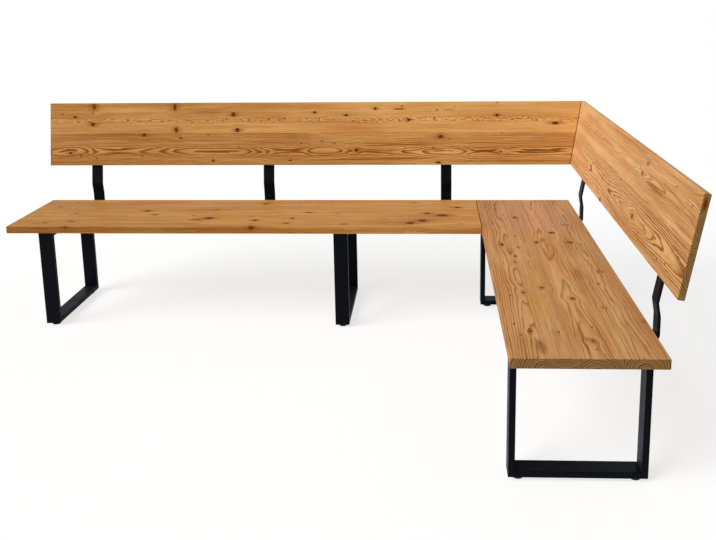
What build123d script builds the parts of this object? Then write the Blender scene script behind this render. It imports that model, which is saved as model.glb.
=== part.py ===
from build123d import *
import os
from math import cos, radians, sin, tan

# Corner bench in solid pine on black steel.
# Two seat boards meet in an L, two tilted back boards are mitred in the corner, bent flat bars
# carry the back boards, and four closed frames of rectangular tube carry the seats.
# The long seat runs along X, the short seat along Y towards the viewer, +Z is up and the floor
# is Z = 0. The origin is on the floor under the middle of the bench's bounding box.
# Lengths are in millimetres and angles in degrees.

# Seat boards
seat_height = 455
seat_thickness = 30
seat_depth = 430
long_seat_length = 2020
short_seat_length = 1610
board_edge_radius = 2

# Back boards
back_board_height = 295
back_board_thickness = 20
back_gap = 168
back_tilt = 10.5

# Flat bars that carry the back boards
bar_width = 50
bar_thickness = 8
bar_edge_radius = 1
bar_corner_radius = 6
bar_gap = 16
bar_slant = 9.5
bar_slant_start = 34
bar_kink_height = 78
bar_kink_radius = 30
bar_foot_radius = 14
bar_foot_length = 120
bar_end_inset = 45
middle_post_to_joint = 978
right_post_to_joint = 140

# Leg frames
tube_width = 60
tube_thickness = 20
tube_wall = 2
tube_corner_radius = 2.5
frame_front_inset = 13
frame_rear_inset = 7
frame_end_inset = 130
middle_frame_to_joint = 594
post_frame_gap = 2

# Glides and the inserts they screw into
glide_diameter = 36
glide_height = 8
glide_rim = 1.5
glide_inset = 32
collar_width = 17
collar_height = 4
stud_diameter = 8
stud_bury = 6
stud_reach = 13
insert_diameter = 11
insert_length = 10
insert_flange_diameter = 15
insert_flange = 1

# Screws and dowels
wood_screw_diameter = 6
board_screw_diameter = 5
head_diameter = 12
head_height = 3.5
head_rim = 1.2
socket_width = 4
socket_depth = 2
seat_cover = 8
board_cover = 4
frame_screw_inset = 80
frame_screw_spread = 30
access_diameter = 16
foot_screw_count = 3
foot_screw_inset = 18
post_screw_count = 3
post_screw_inset = 30
dowel_diameter = 10
dowel_bury = 30
dowel_count = 5
end_chamfer = 1

# Steel plates under the seat joint and brackets behind the mitre
plate_length = 140
plate_width = 40
plate_thickness = 4
plate_inset = 95
plate_corner_radius = 5
plate_screw_inset = 15
plate_screw_pitch = 30
bracket_leg = 70
bracket_width = 40
bracket_thickness = 3
bracket_inset = 60
bracket_screw_inset = 12
bracket_screw_pitch = 30

# Clearances
hole_clearance = 0.5
thread_clearance = 0.1
end_clearance = 1
overrun = 10

# Directions of the back boards' slope and of its outward normal, in a section across a bench:
# the first number points to the back, the second up
tilt_sin = sin(radians(back_tilt))
tilt_cos = cos(radians(back_tilt))
slope = Vector(tilt_sin, tilt_cos)
outward = Vector(tilt_cos, -tilt_sin)

# Middle line of the flat bar, in a section whose origin is the seat's top rear edge
bar_upright = bar_gap + bar_thickness / 2
bar_kink = Vector(
    bar_upright - (bar_kink_height - bar_slant_start) * tan(radians(bar_slant)), bar_kink_height
)
bar_face = bar_kink - outward * (bar_thickness / 2)
board_rise = (back_gap - back_board_thickness * tilt_sin - bar_face.Y) / tilt_cos
board_heel = bar_face + slope * board_rise
bar_end = (
    board_heel + slope * (back_board_height - bar_end_inset) + outward * (bar_thickness / 2)
)
bar_foot_level = -seat_thickness - bar_thickness / 2

# How far the bench reaches behind the seats' rear edges: to the top of a back board or of a bar
board_reach = (
    (board_heel + slope * back_board_height).X - board_edge_radius * (tilt_sin + tilt_cos - 1)
)
bar_reach = (bar_end + outward * (bar_thickness / 2)).X
back_reach = max(board_reach, bar_reach)

# Places of the seats in the bench's own frame
joint_x = (long_seat_length - seat_depth - back_reach) / 2
left_x = joint_x - long_seat_length
corner_x = joint_x + seat_depth
rear_y = (short_seat_length - back_reach) / 2
near_y = rear_y - short_seat_length
seat_bottom = seat_height - seat_thickness
mitre = Plane(origin=(corner_x, rear_y, seat_height), x_dir=(0, 0, 1), z_dir=(1, -1, 0))

# Leg frames in the same section across a bench
glide_stack = glide_height + collar_height + insert_flange
frame_front = frame_front_inset - seat_depth
frame_rear = -frame_rear_inset
frame_low = glide_stack - seat_height
frame_high = -seat_thickness
frame_depth = frame_rear - frame_front
frame_height = frame_high - frame_low
glide_places = (frame_front + glide_inset, frame_rear - glide_inset)

# Screw lengths under the head
frame_screw_length = tube_wall + seat_thickness - seat_cover
foot_screw_length = bar_thickness + seat_thickness - seat_cover
plate_screw_length = plate_thickness + seat_thickness - seat_cover
post_screw_length = bar_thickness + back_board_thickness - board_cover
bracket_screw_length = bracket_thickness + back_board_thickness - board_cover


def long_section(x):
    """Section across the long bench: its x axis points to the back and its y axis up."""
    return Plane(origin=(x, rear_y, seat_height), x_dir=(0, 1, 0), z_dir=(1, 0, 0))


def short_section(y):
    """Section across the short bench: its x axis points to the back and its y axis up."""
    return Plane(origin=(corner_x, y, seat_height), x_dir=(1, 0, 0), z_dir=(0, -1, 0))


def section_plane(section, point, facing):
    """Plane at a point of a section that faces a direction of the section."""
    origin = section.from_local_coords((point.X, point.Y, 0))
    z_dir = section.x_dir * facing.X + section.y_dir * facing.Y
    return Plane(origin, x_dir=section.z_dir, z_dir=z_dir)


def back_plane(section, rise, lift):
    """Plane behind a back board: up its slope by rise and off its rear face by lift."""
    return section_plane(section, board_heel + slope * rise + outward * lift, outward)


def under_plane(section, reach, level):
    """Plane that faces down, at a reach towards the back and a level in a section."""
    return section_plane(section, Vector(reach, level), Vector(0, -1))


def even_places(first, last, count):
    """Evenly spaced places from first to last."""
    return [first + (last - first) * i / (count - 1) for i in range(count)]


def drill(planes, diameter, depth):
    """Round holes that start at planes and run against the way they face."""
    if planes:
        with Locations(*planes):
            Hole(radius=diameter / 2, depth=depth)


def save(piece, label):
    """Label a finished piece and write it."""
    piece.part.label = label
    export_step(piece.part, "parts/" + label + ".step")


def make_screw(diameter, length):
    """Button-head wood screw: its head stands on Z = 0 and its shank runs down."""
    with BuildPart() as screw:
        with BuildSketch(Plane.XZ):
            with BuildLine():
                Polyline(
                    (0, -length),
                    (diameter / 2, diameter - length),
                    (diameter / 2, 0),
                    (head_diameter / 2, 0),
                    (head_diameter / 2, head_height - head_rim),
                    (head_diameter / 2 - head_rim, head_height),
                    (0, head_height),
                    (0, -length),
                )
            make_face()
        revolve(axis=Axis.Z)
        with BuildSketch(Plane.XY.offset(head_height)):
            RegularPolygon(radius=socket_width / 2, side_count=6, major_radius=False)
        extrude(amount=-socket_depth, mode=Mode.SUBTRACT)
    return screw


def save_group(piece, planes, label):
    """Write copies of one piece, one at each plane, as one group of separate solids."""
    with BuildPart() as group:
        with Locations(*planes):
            add(piece.part)
    save(group, label)


def make_tube(section, start, run, length, screw_planes, access_planes, insert_planes):
    """Rectangular tube with mitred ends, along run from an outer corner of a leg frame."""
    along = section.x_dir * run.X + section.y_dir * run.Y
    inward = section.y_dir * run.X - section.x_dir * run.Y
    origin = section.from_local_coords((start.X, start.Y, 0))
    profile = Plane(origin + inward * (tube_thickness / 2), x_dir=section.z_dir, z_dir=along)
    first_cut = Plane(origin, x_dir=section.z_dir, z_dir=along - inward)
    last_cut = Plane(origin + along * length, x_dir=section.z_dir, z_dir=along + inward)
    with BuildPart() as tube:
        with BuildSketch(profile):
            RectangleRounded(tube_width, tube_thickness, tube_corner_radius)
            RectangleRounded(
                tube_width - 2 * tube_wall,
                tube_thickness - 2 * tube_wall,
                tube_corner_radius - tube_wall,
                mode=Mode.SUBTRACT,
            )
        extrude(amount=length)
        split(bisect_by=first_cut, keep=Keep.TOP)
        split(bisect_by=last_cut, keep=Keep.BOTTOM)
        drill(screw_planes, wood_screw_diameter + hole_clearance, tube_wall + end_clearance)
        drill(access_planes, access_diameter, tube_wall + end_clearance)
        drill(insert_planes, insert_diameter + thread_clearance, tube_wall + end_clearance)
    return tube


def make_post(section, foot_planes, screw_planes):
    """Flat bar that bends under the seat, kinks forward and leans back behind the board."""
    with BuildPart() as post:
        with BuildLine(section) as middle_line:
            FilletPolyline(
                (-bar_foot_length, bar_foot_level),
                (bar_upright, bar_foot_level),
                (bar_upright, bar_slant_start),
                (bar_kink.X, bar_kink.Y),
                (bar_end.X, bar_end.Y),
                radius=[bar_foot_radius, bar_kink_radius, bar_kink_radius],
            )
        start = Plane(middle_line.line @ 0, x_dir=section.z_dir, z_dir=middle_line.line % 0)
        with BuildSketch(start):
            Rectangle(bar_width, bar_thickness)
        sweep()
        foot_end = post.faces().sort_by(Axis(section.origin, section.x_dir))[0]
        top_end = post.faces().sort_by(Axis.Z)[-1]
        ends = (foot_end, top_end)
        corners = [edge for end in ends for edge in end.edges().sort_by(SortBy.LENGTH)[:2]]
        fillet(corners, radius=bar_corner_radius)
        sides = post.faces().filter_by(Axis(section.origin, section.z_dir))
        rims = [edge for side in sides for edge in side.edges().sort_by(SortBy.LENGTH)[-2:]]
        fillet(rims, radius=bar_edge_radius)
        drill(
            foot_planes + screw_planes,
            wood_screw_diameter + hole_clearance,
            bar_thickness + end_clearance,
        )
    return post


# Where the posts and the leg frames stand along each bench
frame_pitch = frame_end_inset + tube_width / 2
post_pitch = frame_end_inset + tube_width + post_frame_gap + bar_width / 2
posts = {
    "long_left_post": long_section(left_x + post_pitch),
    "long_middle_post": long_section(joint_x - middle_post_to_joint),
    "long_right_post": long_section(joint_x - right_post_to_joint),
    "short_corner_post": short_section(rear_y - post_pitch),
    "short_end_post": short_section(near_y + post_pitch),
}
frames = {
    "left_frame": long_section(left_x + frame_pitch),
    "middle_frame": long_section(joint_x - middle_frame_to_joint),
    "corner_frame": short_section(rear_y - frame_pitch),
    "end_frame": short_section(near_y + frame_pitch),
}

# Screw places of one post: along its foot, and up its slope behind the board
foot_screw_places = even_places(
    foot_screw_inset - bar_foot_length, -foot_screw_inset, foot_screw_count
)
post_screw_rises = even_places(
    post_screw_inset, back_board_height - bar_end_inset - post_screw_inset, post_screw_count
)

# Screw planes, each where the underside of a head lies
frame_screws = {}
access_holes = {}
insert_holes = {}
for name, section in frames.items():
    edges = [section.offset(side * frame_screw_spread / 2) for side in (-1, 1)]
    reaches = (frame_front + frame_screw_inset, frame_rear - frame_screw_inset)
    frame_screws[name] = [
        under_plane(edge, reach, frame_high - tube_wall) for edge in edges for reach in reaches
    ]
    access_holes[name] = [
        under_plane(edge, reach, frame_high - tube_thickness)
        for edge in edges
        for reach in reaches
    ]
    insert_holes[name] = [under_plane(section, reach, frame_low) for reach in glide_places]

foot_screws = {
    name: [
        under_plane(section, reach, -seat_thickness - bar_thickness)
        for reach in foot_screw_places
    ]
    for name, section in posts.items()
}
post_screws = {
    name: [back_plane(section, rise, bar_thickness) for rise in post_screw_rises]
    for name, section in posts.items()
}

plate_rows = (rear_y - plate_inset, rear_y - seat_depth + plate_inset)
plate_screw_steps = (
    plate_length / 2 - plate_screw_inset,
    plate_length / 2 - plate_screw_inset - plate_screw_pitch,
)
plate_screws = {
    side: [
        Plane(
            (joint_x + side * step, row, seat_bottom - plate_thickness),
            x_dir=(1, 0, 0),
            z_dir=(0, 0, -1),
        )
        for row in plate_rows
        for step in plate_screw_steps
    ]
    for side in (-1, 1)
}

bracket_rises = (bracket_inset, back_board_height - bracket_inset)
bracket_screw_steps = (
    bracket_leg - bracket_screw_inset,
    bracket_leg - bracket_screw_inset - bracket_screw_pitch,
)
bracket_corners = {rise: (board_heel + slope * rise).X for rise in bracket_rises}
long_bracket_screws = [
    back_plane(long_section(corner_x + corner - step), rise, bracket_thickness)
    for rise, corner in bracket_corners.items()
    for step in bracket_screw_steps
]
short_bracket_screws = [
    back_plane(short_section(rear_y + corner - step), rise, bracket_thickness)
    for rise, corner in bracket_corners.items()
    for step in bracket_screw_steps
]

dowel_rows = [rear_y - seat_depth * (i + 1) / (dowel_count + 1) for i in range(dowel_count)]
dowel_points = [(joint_x, row, seat_bottom + seat_thickness / 2) for row in dowel_rows]
dowels_to_left = [Plane(point, z_dir=(1, 0, 0)) for point in dowel_points]
dowels_to_right = [Plane(point, z_dir=(-1, 0, 0)) for point in dowel_points]


def pick(groups, names):
    """The planes of some of the named groups, in one list."""
    return [plane for name in names for plane in groups[name]]


long_posts = ("long_left_post", "long_middle_post", "long_right_post")
short_posts = ("short_corner_post", "short_end_post")
long_frames = ("left_frame", "middle_frame")
short_frames = ("corner_frame", "end_frame")
wood_hole = wood_screw_diameter + thread_clearance
board_hole = board_screw_diameter + thread_clearance
dowel_hole = dowel_diameter + thread_clearance

os.makedirs("parts", exist_ok=True)

# Long seat board
with BuildPart() as long_seat:
    with BuildSketch(Plane.XY.offset(seat_bottom)):
        with Locations((joint_x, rear_y)):
            Rectangle(long_seat_length, seat_depth, align=(Align.MAX, Align.MAX))
    extrude(amount=seat_thickness)
    fillet(long_seat.edges(), radius=board_edge_radius)
    drill(pick(frame_screws, long_frames), wood_hole, frame_screw_length + end_clearance)
    drill(pick(foot_screws, long_posts), wood_hole, foot_screw_length + end_clearance)
    drill(plate_screws[-1], wood_hole, plate_screw_length + end_clearance)
    drill(dowels_to_left, dowel_hole, dowel_bury + end_clearance)
save(long_seat, "long_seat")

# Short seat board
with BuildPart() as short_seat:
    with BuildSketch(Plane.XY.offset(seat_bottom)):
        with Locations((joint_x, rear_y)):
            Rectangle(seat_depth, short_seat_length, align=(Align.MIN, Align.MAX))
    extrude(amount=seat_thickness)
    fillet(short_seat.edges(), radius=board_edge_radius)
    drill(pick(frame_screws, short_frames), wood_hole, frame_screw_length + end_clearance)
    drill(pick(foot_screws, short_posts), wood_hole, foot_screw_length + end_clearance)
    drill(plate_screws[1], wood_hole, plate_screw_length + end_clearance)
    drill(dowels_to_right, dowel_hole, dowel_bury + end_clearance)
save(short_seat, "short_seat")

# Long back board, cut off by the mitre plane
with BuildPart() as long_back:
    with BuildSketch(long_section(left_x)):
        with Locations((board_heel.X, board_heel.Y)):
            Rectangle(
                back_board_thickness,
                back_board_height,
                rotation=-back_tilt,
                align=(Align.MAX, Align.MIN),
            )
    extrude(amount=long_seat_length + seat_depth + back_reach + overrun)
    split(bisect_by=mitre, keep=Keep.BOTTOM)
    fillet(long_back.edges(), radius=board_edge_radius)
    drill(pick(post_screws, long_posts), wood_hole, post_screw_length + end_clearance)
    drill(long_bracket_screws, board_hole, bracket_screw_length + end_clearance)
save(long_back, "long_back")

# Short back board, cut off by the mitre plane
with BuildPart() as short_back:
    with BuildSketch(short_section(rear_y + back_reach + overrun)):
        with Locations((board_heel.X, board_heel.Y)):
            Rectangle(
                back_board_thickness,
                back_board_height,
                rotation=-back_tilt,
                align=(Align.MAX, Align.MIN),
            )
    extrude(amount=short_seat_length + back_reach + overrun)
    split(bisect_by=mitre, keep=Keep.TOP)
    fillet(short_back.edges(), radius=board_edge_radius)
    drill(pick(post_screws, short_posts), wood_hole, post_screw_length + end_clearance)
    drill(short_bracket_screws, board_hole, bracket_screw_length + end_clearance)
save(short_back, "short_back")

# Dowels across the seat joint
with BuildPart() as dowel:
    Cylinder(radius=dowel_diameter / 2, height=2 * dowel_bury)
    chamfer(dowel.edges().filter_by(GeomType.CIRCLE), length=end_chamfer)
save_group(dowel, dowels_to_left, "joint_dowels")

# Plates under the seat joint
for name, row in zip(("rear_joint_plate", "front_joint_plate"), plate_rows):
    with BuildPart() as plate:
        with BuildSketch(Plane.XY.offset(seat_bottom - plate_thickness)):
            with Locations((joint_x, row)):
                RectangleRounded(plate_length, plate_width, plate_corner_radius)
        extrude(amount=plate_thickness)
        drill(
            plate_screws[-1] + plate_screws[1],
            wood_screw_diameter + hole_clearance,
            plate_thickness + end_clearance,
        )
    save(plate, name)

# Brackets behind the mitre: one leg, then its mirror image past the mitre
for name, (rise, corner) in zip(("lower_bracket", "upper_bracket"), bracket_corners.items()):
    with BuildPart() as bracket:
        with BuildSketch(back_plane(long_section(corner_x + corner - bracket_leg), rise, 0)):
            Rectangle(2 * bracket_leg, bracket_width, align=(Align.MIN, Align.CENTER))
        extrude(amount=bracket_thickness)
        split(bisect_by=mitre, keep=Keep.BOTTOM)
        mirror(about=mitre)
        drill(
            long_bracket_screws + short_bracket_screws,
            board_screw_diameter + hole_clearance,
            bracket_thickness + end_clearance,
        )
    save(bracket, name)

# Posts
for name, section in posts.items():
    save(make_post(section, foot_screws[name], post_screws[name]), name)

# Leg frames, each of four mitred tubes
for name, section in frames.items():
    low_front = Vector(frame_front, frame_low)
    low_rear = Vector(frame_rear, frame_low)
    high_rear = Vector(frame_rear, frame_high)
    high_front = Vector(frame_front, frame_high)
    back = Vector(1, 0)
    up = Vector(0, 1)
    bottom_rail = make_tube(section, low_front, back, frame_depth, [], [], insert_holes[name])
    save(bottom_rail, name + "_bottom_rail")
    rear_upright = make_tube(section, low_rear, up, frame_height, [], [], [])
    save(rear_upright, name + "_rear_upright")
    top_rail = make_tube(
        section, high_rear, -back, frame_depth, frame_screws[name], access_holes[name], []
    )
    save(top_rail, name + "_top_rail")
    front_upright = make_tube(section, high_front, -up, frame_height, [], [], [])
    save(front_upright, name + "_front_upright")

# Threaded inserts in the bottom rails
with BuildPart() as insert:
    Cylinder(
        radius=insert_flange_diameter / 2,
        height=insert_flange,
        align=(Align.CENTER, Align.CENTER, Align.MIN),
    )
    Cylinder(
        radius=insert_diameter / 2,
        height=insert_length,
        align=(Align.CENTER, Align.CENTER, Align.MAX),
    )
    Hole(radius=(stud_diameter + thread_clearance) / 2)
glide_planes = pick(insert_holes, frames)
save_group(insert, glide_planes, "glide_inserts")

# Glides: a pad with a hexagonal collar on top, standing on the floor
with BuildPart() as glide:
    Cylinder(
        radius=glide_diameter / 2,
        height=glide_height,
        align=(Align.CENTER, Align.CENTER, Align.MIN),
    )
    chamfer(glide.edges().filter_by(GeomType.CIRCLE), length=glide_rim)
    with BuildSketch(Plane.XY.offset(glide_height)):
        RegularPolygon(radius=collar_width / 2, side_count=6, major_radius=False)
    extrude(amount=collar_height)
    with Locations((0, 0, glide_height + collar_height)):
        Hole(
            radius=(stud_diameter + thread_clearance) / 2,
            depth=collar_height + stud_bury,
        )
floor_planes = [Plane((plane.origin.X, plane.origin.Y, 0)) for plane in glide_planes]
save_group(glide, floor_planes, "glide_pads")

# Studs of the glides
with BuildPart() as stud:
    with Locations((0, 0, glide_height - stud_bury)):
        Cylinder(
            radius=stud_diameter / 2,
            height=stud_bury + collar_height + insert_flange + stud_reach,
            align=(Align.CENTER, Align.CENTER, Align.MIN),
        )
    chamfer(stud.edges().filter_by(GeomType.CIRCLE), length=end_chamfer)
save_group(stud, floor_planes, "glide_studs")

# Screws
frame_screw = make_screw(wood_screw_diameter, frame_screw_length)
save_group(frame_screw, pick(frame_screws, frames), "frame_screws")
foot_screw = make_screw(wood_screw_diameter, foot_screw_length)
save_group(foot_screw, pick(foot_screws, posts), "post_foot_screws")
post_screw = make_screw(wood_screw_diameter, post_screw_length)
save_group(post_screw, pick(post_screws, posts), "back_board_screws")
plate_screw = make_screw(wood_screw_diameter, plate_screw_length)
save_group(plate_screw, plate_screws[-1] + plate_screws[1], "joint_plate_screws")
bracket_screw = make_screw(board_screw_diameter, bracket_screw_length)
save_group(bracket_screw, long_bracket_screws + short_bracket_screws, "bracket_screws")
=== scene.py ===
import math
from collections import namedtuple

import bpy
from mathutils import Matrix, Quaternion, Vector


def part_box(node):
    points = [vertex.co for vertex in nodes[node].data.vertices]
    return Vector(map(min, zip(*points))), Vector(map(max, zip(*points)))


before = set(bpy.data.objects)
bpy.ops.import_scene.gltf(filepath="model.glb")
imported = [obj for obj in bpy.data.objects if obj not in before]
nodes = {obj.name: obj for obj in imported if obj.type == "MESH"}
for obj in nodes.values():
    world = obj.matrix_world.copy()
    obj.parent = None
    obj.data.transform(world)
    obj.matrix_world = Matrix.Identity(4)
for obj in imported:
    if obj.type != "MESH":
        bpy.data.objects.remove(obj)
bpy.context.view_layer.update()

# Corner bench in oiled pine on black steel.
# Lengths are in metres. The seats lie along X and Y, the camera looks roughly along +Y.

X = Vector((1, 0, 0))
Y = Vector((0, 1, 0))
Z = Vector((0, 0, 1))

# Sizes of the frame that the wood follows
BACK_TILT = math.radians(10.5)
BACK_THICKNESS = 0.020

# Camera
LENS = 39.62
SENSOR = 36
SHIFT_X = -0.0607
SHIFT_Y = -0.19
CAMERA_PLACE = Vector((0.5457, -2.8253, 1.4372))
CAMERA_YAW = math.radians(2.187)
CAMERA_PITCH = math.radians(10.505)
CAMERA_ROLL = math.radians(-0.585)

# Light. At a level of 1, either light alone shows a surface that faces it in the colour as written.
# The key light comes from the left, the front and above.
WORLD_LEVEL = 0.30
KEY_LEVEL = 1.10
KEY_FROM = Vector((-0.68, -0.45, 0.58))
KEY_SPREAD = math.radians(40)
WHITE = (1, 1, 1, 1)

# Floor. It lights the object as a plain pale floor. The camera sees it mostly as a glow, which keeps
# it white, with the object's shadow on the rest of it.
FLOOR_SIZE = 30
FLOOR_COLOUR = (0.80, 0.80, 0.80, 1)
FLOOR_SHADOW = (0.30, 0.30, 0.30, 1)
FLOOR_GLOW = 0.72


def srgb(red, green, blue):
    """Linear colour with alpha, from 0 to 255 display values."""
    channels = []
    for value in (red, green, blue):
        share = value / 255
        channels.append(share / 12.92 if share <= 0.04045 else ((share + 0.055) / 1.055) ** 2.4)
    return (*channels, 1)


# Shader nodes

# A texture is a noise that varies this often in a metre along and across the grain. Its gain is how
# far it moves what it is added to.
Texture = namedtuple("Texture", "along across detail roughness gain", defaults=(2.0, 0.5, 1.0))

# A fade is a smooth step, from first where a value is at the start to last at the end.
Fade = namedtuple("Fade", "start end first last", defaults=(0.0, 1.0))

ZERO = (0.0, 0.0, 0.0)


class Graph:
    """Fills the node tree of a material or world. An input is a socket or a plain value."""

    def __init__(self, owner):
        owner.use_nodes = True
        self.tree = owner.node_tree
        self.tree.nodes.clear()

    def fill(self, node, inputs):
        for key, value in inputs.items():
            if isinstance(value, bpy.types.NodeSocket):
                self.tree.links.new(value, node.inputs[key])
            else:
                node.inputs[key].default_value = value

    def add(self, kind, inputs, **settings):
        node = self.tree.nodes.new(kind)
        for name, value in settings.items():
            setattr(node, name, value)
        self.fill(node, inputs)
        return node

    def math(self, operation, *values):
        inputs = dict(enumerate(values))
        return self.add("ShaderNodeMath", inputs, operation=operation).outputs[0]

    def vector(self, operation, *values):
        inputs = dict(enumerate(values))
        return self.add("ShaderNodeVectorMath", inputs, operation=operation).outputs["Vector"]

    def scaled(self, vector, factor):
        inputs = {"Vector": vector, "Scale": factor}
        return self.add("ShaderNodeVectorMath", inputs, operation="SCALE").outputs["Vector"]

    def measure(self, operation, *values):
        inputs = dict(enumerate(values))
        return self.add("ShaderNodeVectorMath", inputs, operation=operation).outputs["Value"]

    def combine(self, x, y, z):
        return self.add("ShaderNodeCombineXYZ", {"X": x, "Y": y, "Z": z}).outputs["Vector"]

    def object_place(self):
        return self.add("ShaderNodeTexCoord", {}).outputs["Object"]

    def texture(self, place, kind, shift=ZERO):
        """The noise of this kind, from 0 to 1. A place is along, across and into the grain."""
        place = self.vector("MULTIPLY", place, (kind.along, kind.across, kind.across))
        place = self.vector("ADD", place, shift)
        inputs = {"Vector": place, "Scale": 1.0, "Detail": kind.detail, "Roughness": kind.roughness}
        return self.add("ShaderNodeTexNoise", inputs).outputs["Fac"]

    def signed_texture(self, place, kind, shift=ZERO):
        """The same noise from -1 to 1."""
        return self.math("MULTIPLY_ADD", self.texture(place, kind, shift), 2.0, -1.0)

    def centred(self, value, gain, total):
        """Adds a texture, taken as plus or minus half, times its gain."""
        return self.math("MULTIPLY_ADD", self.math("SUBTRACT", value, 0.5), gain, total)

    def smooth(self, value, start, end, first=0.0, last=1.0):
        """The value turned by a fade's four numbers. The start may be above the end."""
        inputs = {"Value": value, "From Min": start, "From Max": end, "To Min": first, "To Max": last}
        node = self.add("ShaderNodeMapRange", inputs, interpolation_type="SMOOTHSTEP")
        return node.outputs["Result"]

    def near_zero(self, value, reach, most):
        """Nothing where the value is at its reach, and the most within a quarter of that."""
        return self.smooth(self.math("ABSOLUTE", value), reach, reach / 4, 0.0, most)

    def greys(self, value, stops):
        """A ramp of greys, each stop a place and a level."""
        node = self.add("ShaderNodeValToRGB", {"Fac": value})
        elements = node.color_ramp.elements
        while len(elements) < len(stops):
            elements.new(0.5)
        for element, (place, level) in zip(elements, stops):
            element.position = place
            element.color = (level, level, level, 1)
        return node.outputs["Color"]

    def mix(self, share, first, second):
        """Mixes two colours. The node repeats its names for each kind of data, so these are numbers."""
        inputs = {0: share, 6: first, 7: second}
        return self.add("ShaderNodeMix", inputs, data_type="RGBA").outputs[2]

    def bump(self, height, distance):
        return self.add("ShaderNodeBump", {"Height": height, "Distance": distance}).outputs["Normal"]


def new_material(name):
    """A material, its graph and its Principled shader."""
    material = bpy.data.materials.new(name)
    graph = Graph(material)
    shader = graph.add("ShaderNodeBsdfPrincipled", {})
    graph.add("ShaderNodeOutputMaterial", {"Surface": shader.outputs["BSDF"]})
    return material, graph, shader


# The grain of each board

# Places are along and across the board and into it, from its own corner.

# Joints are the places across the board where its lamellas are glued together.
Grain = namedtuple("Grain", "joints lamellas knots stains looks")

# A lamella has rings of an even spacing round its pith, which lies below the face, or above it at a
# negative depth. Bold is how dark its latewood is, and tone how dark the whole lamella is. Its heave
# says how far the pith sinks away, from 0 to 1 of the swell, at shares of the board's length: the
# rings close into an eye where the heave is least.
Lamella = namedtuple("Lamella", "pith_across pith_depth spacing bold tone swell heave")

# Faint shrinks and fades a knot. Its half depth is the board's knot depth unless it has its own.
Knot = namedtuple(
    "Knot", "along across half_length half_width faint depth half_depth", defaults=(0.0, 0.0, None)
)
Stain = namedtuple("Stain", "along across half_length half_width colour strength")

# Tones darken the board: near is its end where along is 0, and far the other. The edge shades darken
# its long edge faces, partly as the side grain's own tone and partly as painted shade, and lighten
# them where negative. Early is the colour of its earlywood, and pale that of the blushes in it. The
# seed keeps its noise apart from the other boards'.
Looks = namedtuple("Looks", "seed early pale near_tone far_tone near_edge far_edge knot_depth")

RED_WOOD = srgb(188, 116, 54)
PINK_WOOD = srgb(202, 148, 116)
YELLOW_WOOD = srgb(200, 152, 70)
LATE_WOOD = srgb(122, 69, 18)
# Pale pith flecks and stains, and a painted glint on one knot of the long back
FLECK_AND_GLINT = srgb(228, 178, 112)

LONG_SEAT_GRAIN = Grain(
    joints=(0.108, 0.215, 0.322),
    lamellas=(
        Lamella(0.050, 0.036, 0.0042, 0.45, 0.00, 0.012, ((0, 0.2), (0.3, 0.9), (0.7, 0.1), (1, 0.8))),
        Lamella(0.170, 0.060, 0.0036, 0.40, 0.05, 0.010, ((0, 0.9), (0.25, 0.2), (0.6, 0.8), (1, 0.0))),
        Lamella(0.262, 0.030, 0.0046, 0.45, -0.03, 0.014, ((0, 0.1), (0.45, 0.9), (0.8, 0.3), (1, 0.9))),
        Lamella(0.380, 0.044, 0.0040, 0.45, 0.02, 0.012, ((0, 0.6), (0.35, 0.0), (0.75, 0.9), (1, 0.2))),
    ),
    knots=(
        Knot(0.095, 0.126, 0.011, 0.009, 0.3),
        Knot(0.145, 0.375, 0.010, 0.009, 0.3),
        Knot(0.215, 0.227, 0.008, 0.007, 0.4),
        Knot(0.250, 0.353, 0.012, 0.010, 0.2),
        Knot(0.255, 0.430, 0.011, 0.012, 0.4),
        Knot(0.525, 0.187, 0.013, 0.015),
        Knot(0.580, 0.248, 0.013, 0.014, 0.3),
        Knot(0.760, 0.262, 0.006, 0.006, 0.2),
        Knot(0.838, 0.300, 0.019, 0.020),
        Knot(0.838, 0.169, 0.007, 0.007),
        Knot(1.020, 0.275, 0.007, 0.006, 0.4),
        Knot(1.040, 0.070, 0.012, 0.011),
        Knot(1.048, 0.333, 0.011, 0.013),
        Knot(1.052, 0.428, 0.014, 0.013),
        Knot(1.190, 0.375, 0.010, 0.009),
        Knot(1.205, 0.303, 0.006, 0.011),
        Knot(1.265, 0.213, 0.013, 0.009),
        Knot(1.390, 0.227, 0.008, 0.007, 0.4),
        Knot(1.440, 0.387, 0.009, 0.007),
        Knot(1.720, 0.371, 0.019, 0.019),
        Knot(1.730, 0.049, 0.014, 0.009, 0.3),
        Knot(1.772, 0.336, 0.021, 0.020),
        Knot(1.790, 0.225, 0.015, 0.014),
        Knot(1.857, 0.255, 0.026, 0.018),
        Knot(1.927, 0.130, 0.013, 0.015),
        Knot(1.935, 0.384, 0.008, 0.009, 0.4),
    ),
    stains=(
        Stain(0.785, 0.324, 0.034, 0.013, LATE_WOOD, 0.75),
        Stain(0.812, 0.314, 0.036, 0.018, RED_WOOD, 0.85),
        Stain(0.860, 0.330, 0.110, 0.030, YELLOW_WOOD, 0.35),
        Stain(0.600, 0.060, 0.300, 0.025, RED_WOOD, 0.25),
        Stain(1.500, 0.150, 0.250, 0.020, YELLOW_WOOD, 0.30),
        Stain(1.750, 0.300, 0.250, 0.060, RED_WOOD, 0.25),
    ),
    looks=Looks(
        seed=0.0,
        early=srgb(198, 141, 75),
        pale=srgb(206, 152, 87),
        near_tone=0.10,
        far_tone=0.0,
        near_edge=0.52,
        far_edge=0.20,
        knot_depth=0.016,
    ),
)
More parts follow.
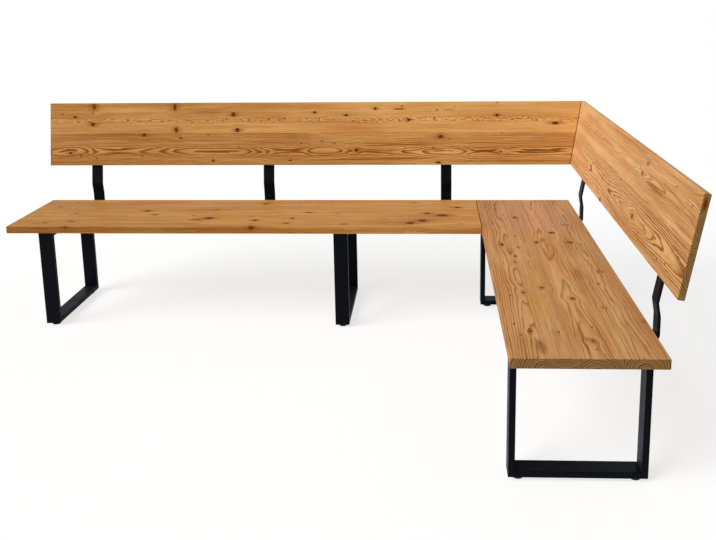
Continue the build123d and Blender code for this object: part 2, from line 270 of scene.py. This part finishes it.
SHORT_SEAT_GRAIN = Grain(
    joints=(0.095, 0.190, 0.305),
    lamellas=(
        Lamella(
            0.090, 0.033, 0.0064, 0.80, 0.00, 0.022,
            ((0, 0.0), (0.13, 0.3), (0.22, 0.62), (0.31, 0.8), (0.38, 0.6),
             (0.48, 0.85), (0.60, 0.55), (0.72, 0.9), (0.85, 0.6), (1, 0.9)),
        ),
        Lamella(0.150, -0.046, 0.0050, 0.25, 0.12, 0.010, ((0, 0.5), (0.3, 0.1), (0.7, 0.9), (1, 0.3))),
        Lamella(
            0.232, 0.050, 0.0060, 0.60, 0.00, 0.020,
            ((0, 0.0), (0.12, 0.3), (0.20, 0.6), (0.33, 0.75),
             (0.42, 0.95), (0.60, 0.6), (0.75, 0.9), (1, 0.5)),
        ),
        Lamella(0.363, 0.031, 0.0060, 0.58, 0.05, 0.010, ((0, 0.4), (0.3, 0.7), (0.65, 0.3), (1, 0.8))),
    ),
    knots=(
        Knot(0.172, 0.076, 0.010, 0.008, 0.35),
        Knot(0.108, 0.243, 0.009, 0.010, 0.5),
        Knot(0.167, 0.156, 0.006, 0.006, 0.4),
        Knot(0.244, 0.420, 0.008, 0.008, 0.5),
        Knot(0.347, 0.322, 0.008, 0.009, 0.6),
        Knot(0.418, 0.240, 0.010, 0.013, 0.35),
        Knot(0.467, 0.089, 0.012, 0.010, 0.40),
        Knot(0.510, 0.155, 0.010, 0.013, 0.4),
        Knot(0.547, 0.350, 0.006, 0.008, 0.5),
        Knot(0.660, 0.385, 0.008, 0.012, 0.6),
        Knot(0.758, 0.092, 0.010, 0.007, 0.5),
        Knot(0.822, 0.100, 0.007, 0.006),
        Knot(0.923, 0.122, 0.009, 0.007, 0.5),
        Knot(0.957, 0.063, 0.013, 0.008),
        Knot(0.983, 0.330, 0.010, 0.016, 0.2),
        Knot(0.983, 0.200, 0.010, 0.008),
        Knot(1.007, 0.222, 0.011, 0.008, 0.6),
        Knot(1.068, 0.125, 0.010, 0.006, 0.6),
        Knot(1.107, 0.276, 0.009, 0.014),
        Knot(1.215, 0.345, 0.007, 0.018, 0.5),
        Knot(1.320, 0.150, 0.010, 0.010),
    ),
    stains=(
        Stain(0.070, 0.095, 0.045, 0.013, LATE_WOOD, 0.60),
        Stain(0.140, 0.220, 0.110, 0.0045, LATE_WOOD, 0.75),
        Stain(0.350, 0.120, 0.120, 0.030, YELLOW_WOOD, 0.35),
        Stain(0.640, 0.150, 0.150, 0.025, YELLOW_WOOD, 0.30),
        Stain(0.250, 0.300, 0.120, 0.030, YELLOW_WOOD, 0.25),
        Stain(1.350, 0.210, 0.260, 0.180, PINK_WOOD, 0.50),
        Stain(0.640, 0.300, 0.060, 0.016, LATE_WOOD, 0.35),
    ),
    looks=Looks(
        seed=20.3,
        early=srgb(199, 146, 92),
        pale=srgb(207, 158, 106),
        near_tone=0.0,
        far_tone=0.02,
        near_edge=0.34,
        far_edge=0.34,
        knot_depth=0.016,
    ),
)
LONG_BACK_GRAIN = Grain(
    joints=(0.150,),
    lamellas=(
        Lamella(
            0.066, 0.024, 0.0038, 1.30, 0.02, 0.026,
            ((0, 0.35), (0.04, 0.15), (0.11, 0.60), (0.20, 0.40), (0.316, 0.0),
             (0.40, 0.42), (0.46, 0.64), (0.515, 0.42), (0.60, 0.80), (0.68, 0.62),
             (0.753, 0.42), (0.81, 0.66), (0.90, 0.50), (1, 0.75)),
        ),
        Lamella(0.212, 0.001, 0.0034, 0.45, -0.02, 0.005, ((0, 0.2), (0.3, 0.9), (0.6, 0.1), (1, 0.7))),
    ),
    knots=(
        Knot(0.099, 0.058, 0.016, 0.010, 0.3),
        Knot(0.120, 0.229, 0.008, 0.006),
        Knot(0.206, 0.194, 0.014, 0.012, 0.15),
        Knot(0.212, 0.276, 0.013, 0.022, 0.3),
        Knot(0.452, 0.143, 0.009, 0.008),
        Knot(0.600, 0.274, 0.013, 0.025, 0.3),
        Knot(0.606, 0.167, 0.012, 0.018, 0.25),
        Knot(0.627, 0.129, 0.005, 0.005),
        Knot(0.782, 0.021, 0.006, 0.006),
        Knot(0.879, 0.239, 0.012, 0.011),
        Knot(0.897, 0.165, 0.012, 0.011),
        Knot(1.147, 0.022, 0.006, 0.005),
        Knot(1.263, 0.246, 0.007, 0.006),
        Knot(1.411, 0.233, 0.008, 0.006),
        Knot(1.459, 0.069, 0.010, 0.009),
        Knot(1.549, 0.264, 0.007, 0.008),
        Knot(1.705, 0.211, 0.009, 0.008),
        Knot(1.844, 0.010, 0.010, 0.006),
        Knot(1.854, 0.131, 0.011, 0.010),
        Knot(2.117, 0.231, 0.009, 0.007),
        Knot(2.133, 0.060, 0.008, 0.008, 0.35),
        Knot(2.387, 0.193, 0.017, 0.008),
    ),
    stains=(
        Stain(0.700, 0.289, 0.450, 0.009, YELLOW_WOOD, 0.50),
        Stain(0.760, 0.249, 0.085, 0.0055, LATE_WOOD, 0.45),
        Stain(1.100, 0.272, 0.250, 0.016, RED_WOOD, 0.30),
        Stain(0.260, 0.143, 0.190, 0.009, LATE_WOOD, 0.35),
        Stain(1.450, 0.026, 0.130, 0.0034, LATE_WOOD, 0.75),
        Stain(1.690, 0.031, 0.140, 0.0036, LATE_WOOD, 0.80),
        Stain(2.130, 0.017, 0.330, 0.0032, LATE_WOOD, 0.65),
        Stain(1.690, 0.094, 0.120, 0.0036, LATE_WOOD, 0.70),
        Stain(2.280, 0.138, 0.200, 0.007, LATE_WOOD, 0.35),
        Stain(1.660, 0.261, 0.028, 0.0040, LATE_WOOD, 0.95),
        Stain(1.890, 0.256, 0.028, 0.0036, LATE_WOOD, 0.50),
        Stain(1.845, 0.067, 0.032, 0.007, LATE_WOOD, 0.60),
        Stain(2.060, 0.064, 0.045, 0.007, LATE_WOOD, 0.95),
        # A painted glint: this pale spot on the knot stands in for a highlight
        Stain(2.133, 0.060, 0.020, 0.013, FLECK_AND_GLINT, 0.60),
    ),
    looks=Looks(
        seed=41.9,
        early=srgb(211, 154, 88),
        pale=srgb(219, 166, 101),
        near_tone=0.27,
        far_tone=-0.06,
        near_edge=0.15,
        far_edge=0.10,
        knot_depth=0.045,
    ),
)
SHORT_BACK_GRAIN = Grain(
    joints=(0.150,),
    lamellas=(
        Lamella(
            0.072, 0.0245, 0.0058, 1.00, 0.02, 0.020,
            ((0, 0.95), (0.06, 0.75), (0.16, 0.40), (0.33, 0.0), (0.45, 0.30),
             (0.57, 0.78), (0.66, 0.75), (0.75, 0.45), (0.86, 0.05), (1, 0.5)),
        ),
        Lamella(
            0.222, 0.001, 0.0036, 0.52, -0.02, 0.040,
            ((0, 1.0), (0.20, 0.95), (0.33, 0.70), (0.45, 0.35), (0.52, 0.45), (0.60, 0.18),
             (0.68, 0.34), (0.75, 0.10), (0.82, 0.26), (0.90, 0.06), (1, 0.20)),
        ),
    ),
    knots=(
        Knot(0.000, 0.266, 0.012, 0.021, depth=0.009, half_depth=0.006),
        Knot(0.502, 0.259, 0.012, 0.013, 0.55),
        Knot(0.536, 0.219, 0.009, 0.011, 0.40),
        Knot(0.538, 0.071, 0.014, 0.015, 0.35),
        Knot(0.972, 0.006, 0.010, 0.009),
    ),
    stains=(
        Stain(0.385, 0.205, 0.100, 0.010, LATE_WOOD, 0.60),
        Stain(0.900, 0.284, 0.330, 0.009, RED_WOOD, 0.40),
        Stain(0.450, 0.085, 0.150, 0.020, FLECK_AND_GLINT, 0.35),
        Stain(0.100, 0.055, 0.070, 0.018, FLECK_AND_GLINT, 0.40),
        Stain(0.070, 0.170, 0.100, 0.005, LATE_WOOD, 0.45),
        Stain(0.070, 0.135, 0.110, 0.004, LATE_WOOD, 0.50),
    ),
    looks=Looks(
        seed=63.1,
        early=srgb(208, 154, 100),
        pale=srgb(219, 172, 120),
        near_tone=0.25,
        far_tone=-0.15,
        near_edge=-0.10,
        far_edge=-0.10,
        knot_depth=0.045,
    ),
)


# The boards in the frame

# A board's origin is a corner of it, and its axes run along, across and inward from there
Board = namedtuple("Board", "node origin along across inward length width seam grain")

# The gap towards the next board: a plane through start, on the side that run points to
Seam = namedtuple("Seam", "start normal run")


def seat_board(name, along, across, grain):
    """A flat board. Across is 0 at the edge that along and across start from, depth is 0 on top."""
    low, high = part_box(name)
    start = [high[i] if along[i] + across[i] < 0 else low[i] for i in range(2)]
    origin = Vector((start[0], start[1], high.z))
    length, width = (abs(axis.dot(high - low)) for axis in (along, across))
    joint_low, joint_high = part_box("long_seat")
    seam = Seam(Vector((joint_high.x, joint_low.y, joint_high.z)), X, Y)
    return Board(name, origin, along, across, -Z, length, width, seam, grain)


def back_board(name, along, outward, grain):
    """A tilted board. Across runs up its front face from the lower edge, depth into the board."""
    low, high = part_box(name)
    lean, rise = math.sin(BACK_TILT), math.cos(BACK_TILT)
    across = outward * lean + Z * rise
    inward = outward * rise - Z * lean
    heel = low.z + BACK_THICKNESS * lean
    origin = Vector((low.x, low.y, heel))
    length = abs(along.dot(high - low))
    width = (high.z - heel) / rise
    seam = Seam(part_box("short_seat")[1], (X - Y).normalized(), Z)
    return Board(name, origin, along, across, inward, length, width, seam, grain)


# How the wood looks

# Growth rings. The gains of the waver and the ripple are in rings, that of the sway in metres. The
# crowd is a noise along the count of rings, which draws some together.
WAVER = Texture(5.0, 38.0, gain=0.95)
RIPPLE = Texture(26.0, 210.0, gain=0.17)
SWAY = Texture(3.0, 0.0, detail=1.0, gain=0.012)
CROWD_RATE = 0.23
CROWD_GAIN = 2.4
YEAR_STRENGTH = Fade(0.0, 0.9, 0.40, 1.0)
RING_PROFILE = ((0.0, 0.0), (0.45, 0.06), (0.68, 0.5), (0.84, 1.0), (0.95, 0.9), (1.0, 0.0))

# How far apart the noises of neighbouring lamellas start
SEED_STEP = 3.7

# Tone of the wood: 0 is earlywood and 1 latewood. A texture's gain is how far it moves the tone.
FIBRE = Texture(14.0, 620.0, 3.0, 0.7, gain=0.85)
STREAK = Texture(3.0, 150.0, 3.0, 0.65, gain=0.85)
BAND = Texture(0.8, 42.0, gain=0.50)
CLOUD = Texture(2.2, 11.0, gain=0.30)
BASE_TONE = 0.06
DARKEST_TONE = 0.95

# A place this near a long edge or an end of the board lies on that side of it
EDGE_REACH = 0.0016

# Ground under the rings
BLUSH = Texture(3.0, 24.0)
BLUSH_SHIFT = (9.0, 4.0, 2.0)
BLUSH_FADE = Fade(0.35, 0.65)
RED_FADE = Fade(0.48, 0.75, 0.0, 0.40)

# Flecks where the pith runs along the surface
PITH_REACH = 0.017
STROKE = Texture(55.0, 230.0, 1.0)
STROKE_PATCH = Texture(9.0, 20.0, 1.0)
PATCH_FADE = Fade(0.28, 0.50)
LIGHT_STROKE = Fade(0.50, 0.60, 0.0, 0.90)
DARK_STROKE = Fade(0.48, 0.36, 0.0, 0.85)

# Stains: their half depth, how ragged they are, and where they fade in, in radii of the stain
STAIN_DEPTH = 0.040
STAIN_RAGGED = 0.25
STAIN_FADE = Fade(1.35, 0.50)

# Knots: how far off one pushes the grain aside, in its radii, and by what share of the offset
KNOT_REACH = 2.4
KNOT_PUSH = 0.75

# The distance from a knot, in its radii, where there is none
FAR = 10.0

# Shade beside a knot: radii count for least along the grain, which draws the shade out that way
KNOT_TAIL = (0.36, 0.85, 0.85)
TAIL_FAINT = 0.5
TAIL_TORN = 0.20
TAIL_FADE = Fade(1.40, 0.30, 0.0, 0.55)

# Colours of a knot, how ragged it is, and where it fades in, in its radii
KNOT_PALE = srgb(130, 70, 14)
KNOT_HEART = srgb(102, 48, 6)
KNOT_DARK = srgb(74, 30, 1)
TEAR = Texture(130.0, 130.0)
KNOT_TORN = 0.30
KNOT_WAVED = 0.20
HEART_FADE = Fade(-0.3, 0.3)
DARK_FADE = Fade(0.85, 0.30, 0.0, 0.85)
KNOT_FADE = Fade(1.20, 0.75, 0.0, 0.95)

# Pin knots: one in some of the cells, which are counted in a metre along, across and into the board
PIN_CELLS = (13.0, 24.0, 14.0)
PIN_FADE = Fade(0.13, 0.04, 0.0, 0.80)
PIN_CHANCE = Fade(0.45, 0.60)

# End grain, glue lines and seams
END_WOOD = srgb(134, 101, 60)
END_LATE = srgb(64, 40, 14)
END_STRENGTH = 0.97
END_RINGS = 1.2
END_FIBRE = 0.7
JOINT_SHADE = srgb(52, 27, 8)
GLUE_REACH = 0.0012
GLUE_STRENGTH = 0.45
SEAM_REACH = 0.0032
SEAM_STRENGTH = 0.85

# Surface of the wood
WOOD_ROUGHNESS = Fade(0.0, 1.0, 0.56, 0.44)
WOOD_SPECULAR = 0.04
WOOD_RELIEF = 0.0002
LATE_RELIEF = 0.5

# What the shader knows of the wood at a place. The place itself is bent round the knots.
Wood = namedtuple(
    "Wood", "along across place shift bold tone radius waver late fibre cloud tear knot tail"
)


def board_place(graph, board):
    """Distances along, across and into the board."""
    offset = graph.vector("SUBTRACT", graph.object_place(), board.origin)
    axes = (board.along, board.across, board.inward)
    return [graph.measure("DOT_PRODUCT", offset, axis) for axis in axes]


def per_lamella(graph, across, joints, values):
    """The value, plain or a socket, of the lamella that the place lies in."""
    result = values[0]
    for joint, value in zip(joints, values[1:]):
        past = graph.math("GREATER_THAN", across, joint)
        change = graph.math("SUBTRACT", value, result)
        result = graph.math("MULTIPLY_ADD", past, change, result)
    return result


def pith_heave(graph, share, lamella):
    """How far the pith sinks away at this share of the board's length."""
    curve = graph.add("ShaderNodeFloatCurve", {"Value": share})
    points = curve.mapping.curves[0].points
    points[0].location, points[-1].location = lamella.heave[0], lamella.heave[-1]
    for place in lamella.heave[1:-1]:
        points.new(*place)
    curve.mapping.update()
    return graph.math("MULTIPLY", curve.outputs["Value"], lamella.swell)


def lamella_values(graph, board, along, across):
    """What the lamella at this place has, by name, with a seed of its own."""
    lamellas = board.grain.lamellas
    share = graph.math("DIVIDE", along, board.length)
    plain = ("pith_across", "pith_depth", "spacing", "bold", "tone")
    values = {name: [getattr(lamella, name) for lamella in lamellas] for name in plain}
    values["heave"] = [pith_heave(graph, share, lamella) for lamella in lamellas]
    values["seed"] = [board.grain.looks.seed + SEED_STEP * (i + 1) for i in range(len(lamellas))]
    joints = board.grain.joints
    return {name: per_lamella(graph, across, joints, value) for name, value in values.items()}


def knot_field(graph, place, board):
    """How far knots draw the place across, and how near the nearest knot and its shade are."""
    nearest = FAR
    tail = FAR
    push = ZERO
    for knot in board.grain.knots:
        offset = graph.vector("SUBTRACT", place, (knot.along, knot.across, knot.depth))
        half_depth = knot.half_depth or board.grain.looks.knot_depth
        radii = graph.vector("DIVIDE", offset, (knot.half_length, knot.half_width, half_depth))
        distance = graph.measure("LENGTH", radii)
        square = graph.math("MULTIPLY", distance, distance)
        weight = graph.math("EXPONENT", graph.math("MULTIPLY", square, -1 / KNOT_REACH**2))
        push = graph.vector("ADD", push, graph.scaled(offset, weight))
        nearest = graph.math("MINIMUM", nearest, graph.math("ADD", distance, knot.faint))
        drawn = graph.measure("LENGTH", graph.vector("MULTIPLY", radii, KNOT_TAIL))
        tail = graph.math("MINIMUM", tail, graph.math("ADD", drawn, TAIL_FAINT * knot.faint))
    return graph.add("ShaderNodeSeparateXYZ", {0: push}).outputs["Y"], nearest, tail


def pith_distance(graph, lamella, across, depth, sway):
    """Distance from the pith, which sways across the board and sinks away below its face."""
    side = graph.math("SUBTRACT", across, lamella["pith_across"])
    side = graph.math("MULTIPLY_ADD", sway, SWAY.gain, side)
    below = graph.math("SUBTRACT", lamella["pith_depth"], depth)
    below = graph.math("ADD", below, lamella["heave"])
    return graph.measure("LENGTH", graph.combine(side, below, 0.0))


def latewood(graph, rings, waver, ripple):
    """How much latewood shows: a dark line at the end of each ring, in some years a faint one."""
    rings = graph.math("MULTIPLY_ADD", waver, WAVER.gain, rings)
    rings = graph.math("MULTIPLY_ADD", ripple, RIPPLE.gain, rings)
    crowd = graph.add("ShaderNodeTexNoise", {"W": rings, "Scale": CROWD_RATE}, noise_dimensions="1D")
    rings = graph.centred(crowd.outputs["Fac"], CROWD_GAIN, rings)
    year = graph.math("FLOOR", rings)
    chance = graph.add("ShaderNodeTexWhiteNoise", {"W": year}, noise_dimensions="1D")
    strength = graph.smooth(chance.outputs["Value"], *YEAR_STRENGTH)
    return graph.math("MULTIPLY", graph.greys(graph.math("FRACT", rings), RING_PROFILE), strength)


def read_wood(graph, board):
    """The wood at the shaded place of a board."""
    along, across, depth = board_place(graph, board)
    lamella = lamella_values(graph, board, along, across)
    shift = graph.combine(lamella["seed"], lamella["seed"], lamella["seed"])
    push, knot, tail = knot_field(graph, graph.combine(along, across, depth), board)
    bent = graph.math("MULTIPLY_ADD", push, -KNOT_PUSH, across)
    place = graph.combine(along, bent, depth)
    radius = pith_distance(graph, lamella, bent, depth, graph.signed_texture(place, SWAY, shift))
    waver = graph.signed_texture(place, WAVER, shift)
    ripple = graph.signed_texture(place, RIPPLE, shift)
    return Wood(
        along=along,
        across=across,
        place=place,
        shift=shift,
        bold=lamella["bold"],
        tone=lamella["tone"],
        radius=radius,
        waver=waver,
        late=latewood(graph, graph.math("DIVIDE", radius, lamella["spacing"]), waver, ripple),
        fibre=graph.texture(place, FIBRE, shift),
        cloud=graph.texture(place, CLOUD, shift),
        tear=graph.signed_texture(place, TEAR),
        knot=knot,
        tail=tail,
    )


def wood_tone(graph, board, wood):
    """How much of the latewood's colour shows, with a shade of its own on the long edge faces: partly
    the side grain's own tone, partly painted shade.
    """
    looks = board.grain.looks
    tone = graph.smooth(wood.along, 0.0, board.length, looks.near_tone, looks.far_tone)
    tone = graph.math("ADD", tone, wood.tone)
    tone = graph.math("ADD", tone, BASE_TONE)
    tone = graph.math("MULTIPLY_ADD", wood.late, wood.bold, tone)
    edge = graph.math("MINIMUM", wood.across, graph.math("SUBTRACT", board.width, wood.across))
    # Painted shade on the long edge faces, partly the side grain's own darker tone; a negative value
    # lightens them
    long_edge_shade = graph.smooth(wood.along, 0.0, board.length, looks.near_edge, looks.far_edge)
    tone = graph.math("MULTIPLY_ADD", graph.near_zero(edge, EDGE_REACH, 1.0), long_edge_shade, tone)
    tone = graph.centred(graph.texture(wood.place, BAND, wood.shift), BAND.gain, tone)
    tone = graph.centred(graph.texture(wood.place, STREAK, wood.shift), STREAK.gain, tone)
    tone = graph.centred(wood.cloud, CLOUD.gain, tone)
    tone = graph.math("MAXIMUM", graph.centred(wood.fibre, FIBRE.gain, tone), 0.0)
    return graph.math("MINIMUM", tone, DARKEST_TONE)


def ground_colour(graph, board, wood):
    """Earlywood with paler blushes and red clouds."""
    looks = board.grain.looks
    blush = graph.texture(wood.place, BLUSH, BLUSH_SHIFT)
    colour = graph.mix(graph.smooth(blush, *BLUSH_FADE), looks.early, looks.pale)
    return graph.mix(graph.smooth(wood.cloud, *RED_FADE), colour, RED_WOOD)


def pith_flecks(graph, colour, wood):
    """Short light and dark strokes where the pith runs along the surface."""
    stroke = graph.texture(wood.place, STROKE)
    patch = graph.smooth(graph.texture(wood.place, STROKE_PATCH), *PATCH_FADE)
    shown = graph.math("MULTIPLY", graph.near_zero(wood.radius, PITH_REACH, 1.0), patch)
    light = graph.math("MULTIPLY", shown, graph.smooth(stroke, *LIGHT_STROKE))
    dark = graph.math("MULTIPLY", shown, graph.smooth(stroke, *DARK_STROKE))
    return graph.mix(dark, graph.mix(light, colour, FLECK_AND_GLINT), LATE_WOOD)


def stain_colour(graph, colour, wood, stains):
    """Soft patches of another tone, drawn out along the grain, in the faces. One pale spot on the long
    back is a painted glint.
    """
    for stain in stains:
        offset = graph.vector("SUBTRACT", wood.place, (stain.along, stain.across, 0.0))
        radii = graph.vector("DIVIDE", offset, (stain.half_length, stain.half_width, STAIN_DEPTH))
        distance = graph.measure("LENGTH", radii)
        ragged = graph.math("MULTIPLY_ADD", wood.waver, STAIN_RAGGED, distance)
        shown = graph.smooth(ragged, *STAIN_FADE._replace(last=stain.strength))
        colour = graph.mix(shown, colour, stain.colour)
    return colour


def knot_shade(graph, colour, wood):
    """Darker wood round each knot, drawn out along the grain."""
    drawn = graph.math("MULTIPLY_ADD", wood.tear, TAIL_TORN, wood.tail)
    return graph.mix(graph.smooth(drawn, *TAIL_FADE), colour, LATE_WOOD)


def sawn_ends(graph, colour, board, wood):
    """End grain on the board's two ends, where the rings show as arcs."""
    end = graph.math("MINIMUM", wood.along, graph.math("SUBTRACT", board.length, wood.along))
    shade = graph.centred(wood.fibre, END_FIBRE, graph.math("MULTIPLY", wood.late, END_RINGS))
    end_colour = graph.mix(shade, END_WOOD, END_LATE)
    return graph.mix(graph.near_zero(end, EDGE_REACH, END_STRENGTH), colour, end_colour)


def knot_colour(graph, colour, wood):
    """Dark, ragged knots."""
    ragged = graph.math("MULTIPLY_ADD", wood.tear, KNOT_TORN, wood.knot)
    ragged = graph.math("MULTIPLY_ADD", wood.waver, KNOT_WAVED, ragged)
    core = graph.mix(graph.smooth(wood.waver, *HEART_FADE), KNOT_PALE, KNOT_HEART)
    core = graph.mix(graph.smooth(ragged, *DARK_FADE), core, KNOT_DARK)
    return graph.mix(graph.smooth(ragged, *KNOT_FADE), colour, core)


def pin_knots(graph, colour, wood):
    """A few small dark dots."""
    cells = {"Vector": graph.vector("MULTIPLY", wood.place, PIN_CELLS), "Scale": 1.0}
    cells = graph.add("ShaderNodeTexVoronoi", cells)
    chance = graph.add("ShaderNodeSeparateColor", {0: cells.outputs["Color"]}).outputs[0]
    pin = graph.smooth(cells.outputs["Distance"], *PIN_FADE)
    shown = graph.math("MULTIPLY", pin, graph.smooth(chance, *PIN_CHANCE))
    return graph.mix(shown, colour, KNOT_HEART)


def joint_lines(graph, colour, board, wood):
    """Fine glue lines, and the shade in the gap towards the next board."""
    for joint in board.grain.joints:
        gap = graph.math("SUBTRACT", wood.across, joint)
        colour = graph.mix(graph.near_zero(gap, GLUE_REACH, GLUE_STRENGTH), colour, JOINT_SHADE)
    offset = graph.vector("SUBTRACT", graph.object_place(), board.seam.start)
    gap = graph.measure("DOT_PRODUCT", offset, board.seam.normal)
    inside = graph.math("GREATER_THAN", graph.measure("DOT_PRODUCT", offset, board.seam.run), 0.0)
    shown = graph.math("MULTIPLY", graph.near_zero(gap, SEAM_REACH, SEAM_STRENGTH), inside)
    return graph.mix(shown, colour, JOINT_SHADE)


def pine(board):
    """Pale stains, among them a painted glint, lie under the rings and dark ones over them."""
    material, graph, shader = new_material(board.node + "_pine")
    wood = read_wood(graph, board)
    pale = [stain for stain in board.grain.stains if stain.colour != LATE_WOOD]
    dark = [stain for stain in board.grain.stains if stain.colour == LATE_WOOD]
    ground = ground_colour(graph, board, wood)
    ground = pith_flecks(graph, ground, wood)
    ground = stain_colour(graph, ground, wood, pale)
    colour = graph.mix(wood_tone(graph, board, wood), ground, LATE_WOOD)
    colour = stain_colour(graph, colour, wood, dark)
    colour = knot_shade(graph, colour, wood)
    colour = sawn_ends(graph, colour, board, wood)
    colour = knot_colour(graph, colour, wood)
    colour = pin_knots(graph, colour, wood)
    height = graph.math("MULTIPLY_ADD", wood.late, LATE_RELIEF, wood.fibre)
    surface = {
        "Base Color": joint_lines(graph, colour, board, wood),
        "Roughness": graph.smooth(wood.late, *WOOD_ROUGHNESS),
        "Specular IOR Level": WOOD_SPECULAR,
        "Normal": graph.bump(height, WOOD_RELIEF),
    }
    graph.fill(shader, surface)
    return material


# Steel

POWDER_DARK = srgb(2, 4, 8)
POWDER_LIGHT = srgb(7, 10, 15)
POWDER_SPECULAR = 0.05
SHEEN_TINT = srgb(150, 175, 205)
SHEEN_WEIGHT = 0.25
SHEEN_ROUGHNESS = 0.3
POWDER_PATCH = Texture(14.0, 14.0, 3.0, 0.6)
POWDER_ROUGHNESS = Fade(0.25, 0.75, 0.42, 0.55)
ORANGE_PEEL = Texture(900.0, 900.0)
PEEL_RELIEF = 0.00015


def powder_coat():
    material, graph, shader = new_material("black_powder_coat")
    place = graph.object_place()
    patch = graph.texture(place, POWDER_PATCH)
    surface = {
        "Base Color": graph.mix(patch, POWDER_DARK, POWDER_LIGHT),
        "Roughness": graph.smooth(patch, *POWDER_ROUGHNESS),
        "Specular IOR Level": POWDER_SPECULAR,
        "Sheen Weight": SHEEN_WEIGHT,
        "Sheen Roughness": SHEEN_ROUGHNESS,
        "Sheen Tint": SHEEN_TINT,
        "Normal": graph.bump(graph.texture(place, ORANGE_PEEL), PEEL_RELIEF),
    }
    graph.fill(shader, surface)
    return material


# Small parts. A fine grain mixes two colours, and sets the roughness and a slight relief.

Finish = namedtuple("Finish", "name first second grain roughness metallic specular")

FINE_RELIEF = 0.0001
BLACK_SCREW = Finish(
    name="black_screws",
    first=srgb(20, 20, 21),
    second=srgb(44, 44, 46),
    grain=Texture(800.0, 800.0, 3.0, 0.6),
    roughness=Fade(0.2, 0.8, 0.27, 0.43),
    metallic=1.0,
    specular=0.5,
)
ZINC = Finish(
    name="zinc_steel",
    first=srgb(150, 152, 155),
    second=srgb(190, 192, 194),
    grain=Texture(700.0, 700.0, 3.0, 0.6),
    roughness=Fade(0.2, 0.8, 0.24, 0.40),
    metallic=1.0,
    specular=0.5,
)
PLASTIC = Finish(
    name="glide_plastic",
    first=srgb(16, 17, 18),
    second=srgb(27, 28, 29),
    grain=Texture(1500.0, 1500.0),
    roughness=Fade(0.2, 0.8, 0.5, 0.65),
    metallic=0.0,
    specular=0.3,
)
BEECH = Finish(
    name="dowel_beech",
    first=srgb(205, 170, 125),
    second=srgb(178, 138, 92),
    grain=Texture(60.0, 900.0, 3.0, 0.6),
    roughness=Fade(0.2, 0.8, 0.55, 0.7),
    metallic=0.0,
    specular=0.5,
)


def fine_grained(finish):
    material, graph, shader = new_material(finish.name)
    grain = graph.texture(graph.object_place(), finish.grain)
    surface = {
        "Base Color": graph.mix(grain, finish.first, finish.second),
        "Metallic": finish.metallic,
        "Roughness": graph.smooth(grain, *finish.roughness),
        "Specular IOR Level": finish.specular,
        "Normal": graph.bump(grain, FINE_RELIEF),
    }
    graph.fill(shader, surface)
    return material


# Painting the pieces

BOARDS = (
    seat_board("long_seat", X, -Y, LONG_SEAT_GRAIN),
    seat_board("short_seat", Y, X, SHORT_SEAT_GRAIN),
    back_board("long_back", X, Y, LONG_BACK_GRAIN),
    back_board("short_back", Y, X, SHORT_BACK_GRAIN),
)


def paint(material, names):
    for name in names:
        mesh = nodes[name].data
        mesh.materials.clear()
        mesh.materials.append(material)


# Every piece is black steel until it is painted as something else
paint(powder_coat(), nodes)
for board in BOARDS:
    paint(pine(board), [board.node])
paint(fine_grained(BLACK_SCREW), [name for name in nodes if name.endswith("_screws")])
paint(fine_grained(ZINC), ["glide_inserts", "glide_studs"])
paint(fine_grained(PLASTIC), ["glide_pads"])
paint(fine_grained(BEECH), ["joint_dowels"])


# Studio


def seen_rays(graph, kinds):
    """1 for a ray of one of these kinds, otherwise 0."""
    rays = graph.add("ShaderNodeLightPath", {}).outputs
    seen = rays[kinds[0]]
    for kind in kinds[1:]:
        seen = graph.math("MAXIMUM", seen, rays[kind])
    return seen


def make_floor():
    bpy.ops.mesh.primitive_plane_add(size=FLOOR_SIZE)
    floor = bpy.context.object
    floor.name = "studio_floor"
    material = bpy.data.materials.new("studio_floor")
    graph = Graph(material)
    seen = seen_rays(graph, ("Is Camera Ray", "Is Glossy Ray"))
    shade = graph.mix(seen, FLOOR_COLOUR, FLOOR_SHADOW)
    diffuse = graph.add("ShaderNodeBsdfDiffuse", {"Color": shade})
    glow = graph.add("ShaderNodeEmission", {"Strength": graph.math("MULTIPLY", seen, FLOOR_GLOW)})
    both = graph.add("ShaderNodeAddShader", {0: diffuse.outputs[0], 1: glow.outputs[0]})
    graph.add("ShaderNodeOutputMaterial", {"Surface": both.outputs[0]})
    floor.data.materials.append(material)


def make_world():
    """A white backdrop to what sees it, and a soft light to the rest."""
    world = bpy.data.worlds.new("studio")
    bpy.context.scene.world = world
    graph = Graph(world)
    seen = seen_rays(graph, ("Is Camera Ray", "Is Glossy Ray", "Is Transmission Ray"))
    level = graph.math("MULTIPLY_ADD", seen, 1.0 - WORLD_LEVEL, WORLD_LEVEL)
    backdrop = graph.add("ShaderNodeBackground", {"Color": WHITE, "Strength": level})
    graph.add("ShaderNodeOutputWorld", {"Surface": backdrop.outputs[0]})


def make_key_light():
    lamp = bpy.data.lights.new("key", "SUN")
    lamp.energy = math.pi * KEY_LEVEL
    lamp.angle = KEY_SPREAD
    holder = bpy.data.objects.new("key", lamp)
    holder.rotation_mode = "QUATERNION"
    holder.rotation_quaternion = KEY_FROM.to_track_quat("Z", "Y")
    bpy.context.scene.collection.objects.link(holder)


def make_camera():
    data = bpy.data.cameras.new("camera")
    data.lens = LENS
    data.sensor_width = SENSOR
    data.shift_x = SHIFT_X
    data.shift_y = SHIFT_Y
    camera = bpy.data.objects.new("camera", data)
    camera.location = CAMERA_PLACE
    camera.rotation_mode = "QUATERNION"
    upright = Quaternion(Z, CAMERA_YAW) @ Quaternion(X, math.pi / 2 - CAMERA_PITCH)
    camera.rotation_quaternion = upright @ Quaternion(Z, CAMERA_ROLL)
    bpy.context.scene.collection.objects.link(camera)
    bpy.context.scene.camera = camera


make_floor()
make_world()
make_key_light()
make_camera()
bpy.context.scene.view_settings.view_transform = "Standard"
